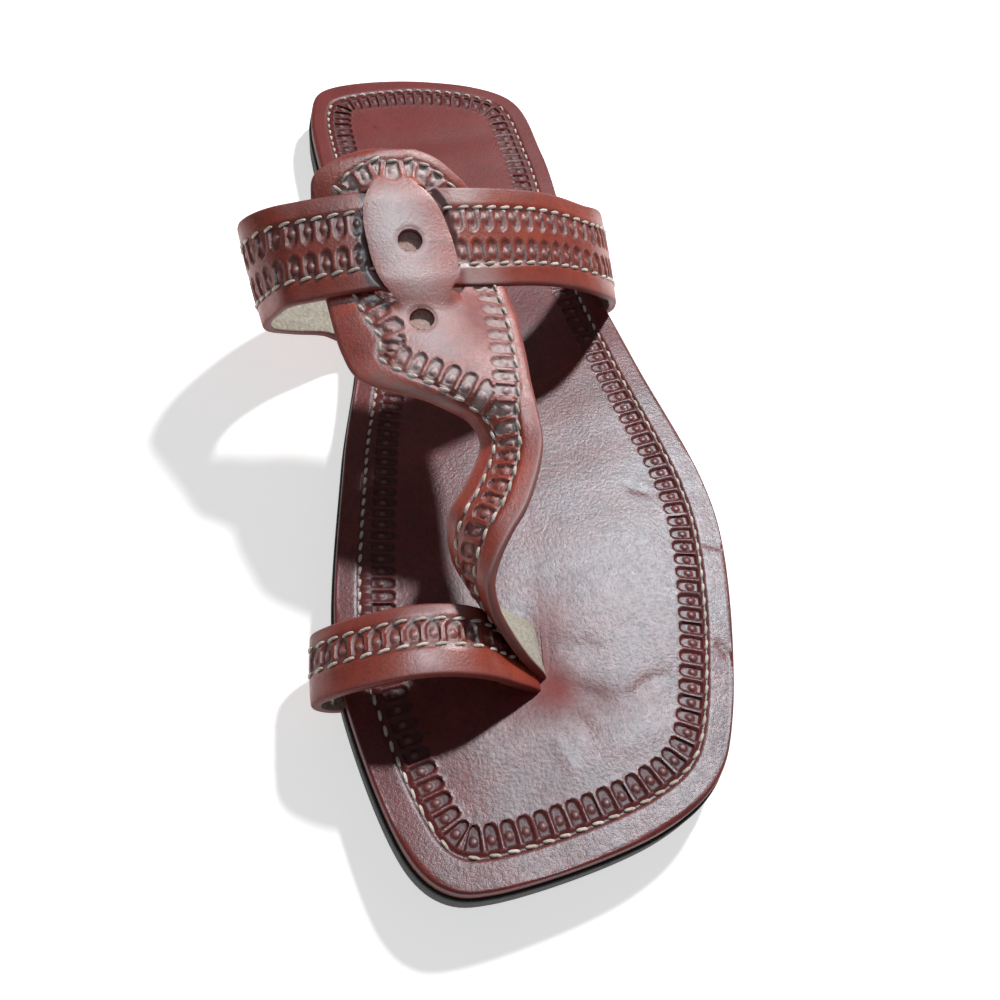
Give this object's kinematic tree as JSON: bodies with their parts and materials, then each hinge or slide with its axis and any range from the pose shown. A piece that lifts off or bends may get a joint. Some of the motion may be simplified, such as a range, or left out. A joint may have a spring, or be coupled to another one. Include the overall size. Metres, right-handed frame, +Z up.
{
  "type": "leather toe-loop sandal",
  "caption": "Flat leather sandal for a left foot: square-toed footbed on a rubber sole, instep strap woven through a T-strap, and a big-toe loop.",
  "frame": {"origin": "on the ground under the middle of the whole sandal's box", "axes": "+Y along the foot from toe to heel, +X to the outer side of the foot, +Z up"},
  "size_m": [0.1246, 0.2726, 0.0663],
  "materials": {
    "outsole_rubber": "matt black rubber",
    "footbed_leather": "polished red-brown leather with stamped and stitched border",
    "strap_leather": "polished red-brown leather, natural flesh side"
  },
  "bodies": {
    "root": {"outsole": "outsole_rubber", "footbed": "footbed_leather", "upper": "strap_leather"}
  },
  "joints": []
}
